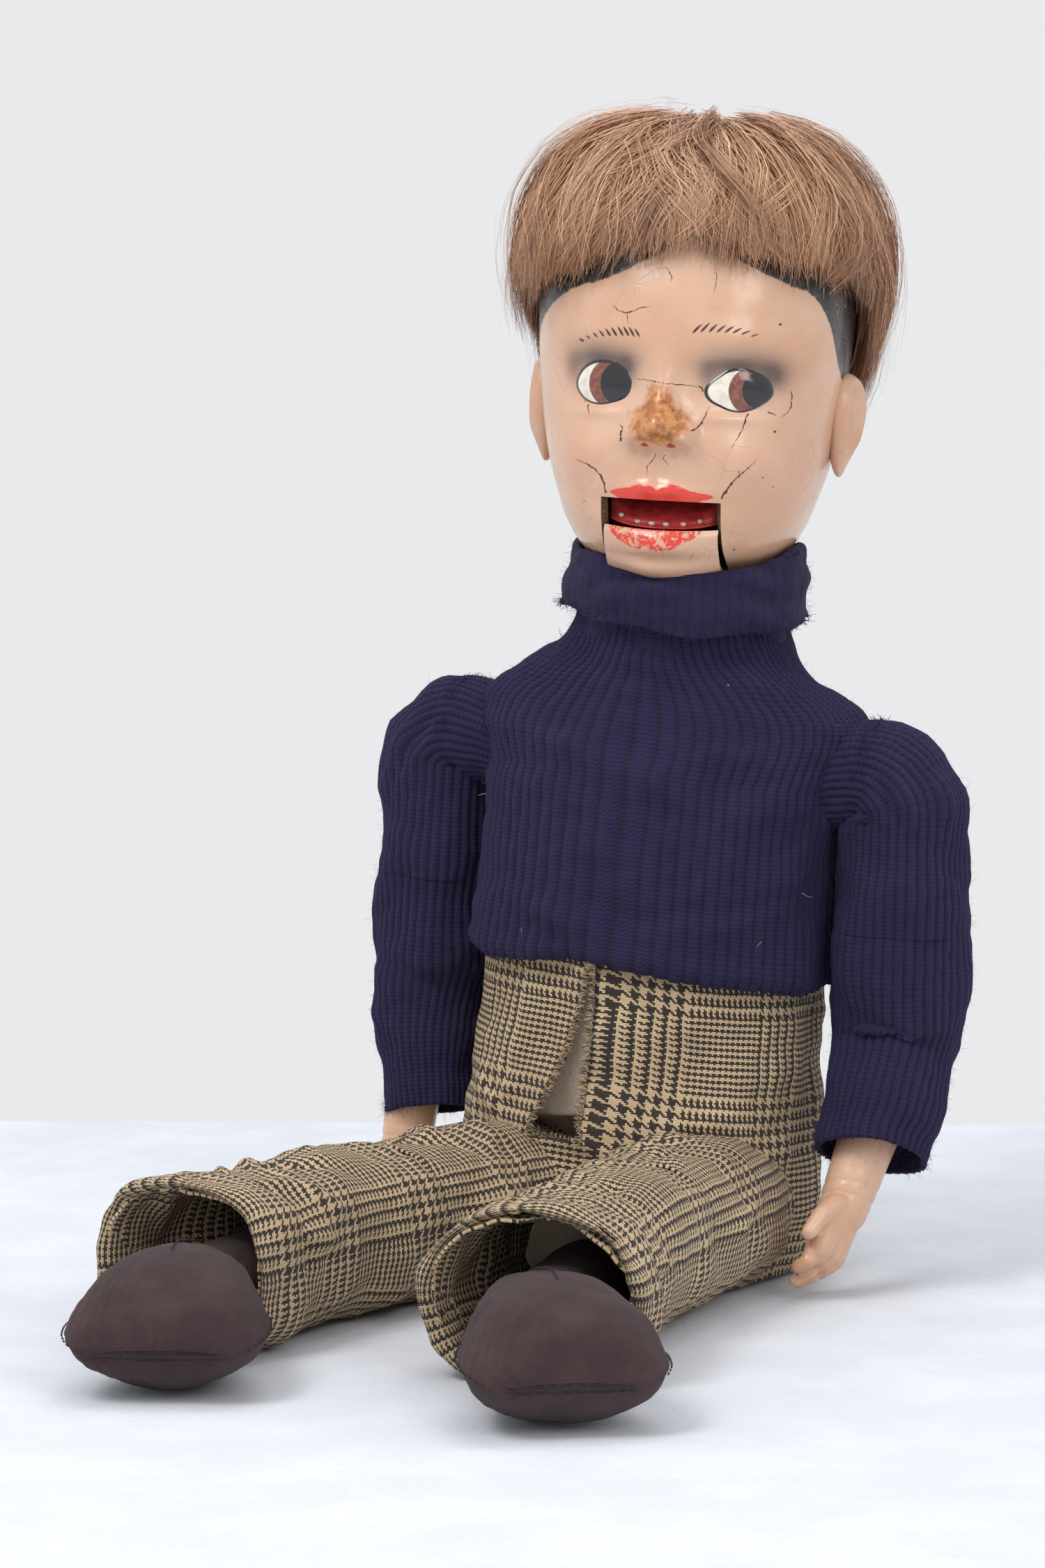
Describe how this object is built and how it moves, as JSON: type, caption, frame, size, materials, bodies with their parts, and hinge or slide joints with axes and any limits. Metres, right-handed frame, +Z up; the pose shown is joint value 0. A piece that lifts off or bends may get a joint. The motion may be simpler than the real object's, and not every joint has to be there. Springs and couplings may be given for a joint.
{
  "type": "ventriloquist dummy",
  "caption": "Seated ventriloquist dummy with a composition head, hinged slot jaw, stuffed cloth body and limbs, knitted sweater and checked trousers.",
  "frame": {"origin": "middle of the flat seat, on the surface the dummy sits on", "axes": "+Z up, -Y the way the dummy faces, +X the dummy's left"},
  "size_m": [0.2587, 0.409, 0.4584],
  "materials": {
    "composition": "flesh-painted composition, varnished, crazed and worn",
    "red_paint": "glossy red paint",
    "torso_cotton": "plain stuffed cotton",
    "navy_knit": "ribbed navy-purple wool knit, fuzzy",
    "check_cloth": "tan and black woven check",
    "brown_cotton": "dark brown cotton",
    "wig_hair": "reddish blond mohair",
    "wood": "plain turned wood",
    "steel_wire": "plain steel wire",
    "brass": "dull brass",
    "cord": "waxed cotton cord"
  },
  "bodies": {
    "torso": {"torso": "torso_cotton", "trouser_seat": "check_cloth", "sweater_body": "navy_knit", "sweater_collar": "navy_knit"},
    "neck": {"cloth_neck": "torso_cotton", "swivel_disc": "wood", "swivel_peg": "wood", "peg_washer": "steel_wire"},
    "head": {"head_face_shell": "composition", "head_back_shell": "composition", "wig": "wig_hair", "neck_bush": "wood", "neck_draw_cord": "cord", "cord_eyelet": "brass", "jaw_pivot_rod": "steel_wire", "pivot_block_l": "wood", "pivot_block_r": "wood", "jaw_stop_bar": "wood"},
    "jaw": {"jaw": "composition", "tongue": "red_paint", "jaw_lever": "wood", "cord_screw_eye": "brass"},
    "upper_arm_l": {"upper_arm_l": "torso_cotton", "sleeve_upper_l": "navy_knit"},
    "forearm_l": {"forearm_l": "composition", "sleeve_lower_l": "navy_knit", "arm_tie_l": "cord"},
    "thigh_l": {"thigh_l": "torso_cotton", "trouser_thigh_l": "check_cloth"},
    "lower_leg_l": {"stocking_leg_l": "brown_cotton", "stuffed_foot_l": "brown_cotton", "trouser_cuff_l": "check_cloth"},
    "upper_arm_r": {"upper_arm_r": "torso_cotton", "sleeve_upper_r": "navy_knit"},
    "forearm_r": {"forearm_r": "composition", "sleeve_lower_r": "navy_knit", "arm_tie_r": "cord"},
    "thigh_r": {"thigh_r": "torso_cotton", "trouser_thigh_r": "check_cloth"},
    "lower_leg_r": {"stocking_leg_r": "brown_cotton", "stuffed_foot_r": "brown_cotton", "trouser_cuff_r": "check_cloth"}
  },
  "joints": [
    {"name": "head_nod", "type": "hinge", "parent": "torso", "child": "neck", "pos_m": [0.01907, 0, 0.24225], "axis": [0.9986, 0, -0.0523], "range_deg": [-10, 8]},
    {"name": "head_turn", "type": "hinge", "parent": "neck", "child": "head", "pos_m": [0.02006, 0, 0.26122], "axis": [0.0523, 0, 0.9986], "range_deg": [-70, 50]},
    {"name": "jaw_hinge", "type": "hinge", "parent": "head", "child": "jaw", "pos_m": [0.02254, 0.00197, 0.31517], "axis": [0.9835, 0.1736, -0.0515], "range_deg": [-10, 0]},
    {"name": "shoulder_l", "type": "hinge", "parent": "torso", "child": "upper_arm_l", "pos_m": [0.11463, 0, 0.20363], "axis": [0.9972, 0.0697, -0.026], "range_deg": [-110, 40]},
    {"name": "elbow_l", "type": "hinge", "parent": "upper_arm_l", "child": "forearm_l", "pos_m": [0.11184, 0.00039, 0.09767], "axis": [0.9997, -0.0001, -0.0263], "range_deg": [-58, 25]},
    {"name": "hip_l", "type": "hinge", "parent": "torso", "child": "thigh_l", "pos_m": [0.042, -0.044, 0.031], "axis": [0.9976, 0.0698, 0], "range_deg": [-18, 90]},
    {"name": "knee_l", "type": "hinge", "parent": "thigh_l", "child": "lower_leg_l", "pos_m": [0.05023, -0.16171, 0.031], "axis": [0.9951, 0.0696, 0.0698], "range_deg": [0, 84]},
    {"name": "shoulder_r", "type": "hinge", "parent": "torso", "child": "upper_arm_r", "pos_m": [-0.08136, 0, 0.21906], "axis": [0.9718, -0.2249, -0.0712], "range_deg": [-110, 40]},
    {"name": "elbow_r", "type": "hinge", "parent": "upper_arm_r", "child": "forearm_r", "pos_m": [-0.08914, -0.00013, 0.11335], "axis": [0.9972, -0.0174, -0.0733], "range_deg": [-74, 10]},
    {"name": "hip_r", "type": "hinge", "parent": "torso", "child": "thigh_r", "pos_m": [-0.042, -0.044, 0.031], "axis": [0.9744, -0.225, 0], "range_deg": [-18, 90]},
    {"name": "knee_r", "type": "hinge", "parent": "thigh_r", "child": "lower_leg_r", "pos_m": [-0.06854, -0.15898, 0.031], "axis": [0.9494, -0.2192, -0.225], "range_deg": [0, 84]}
  ]
}
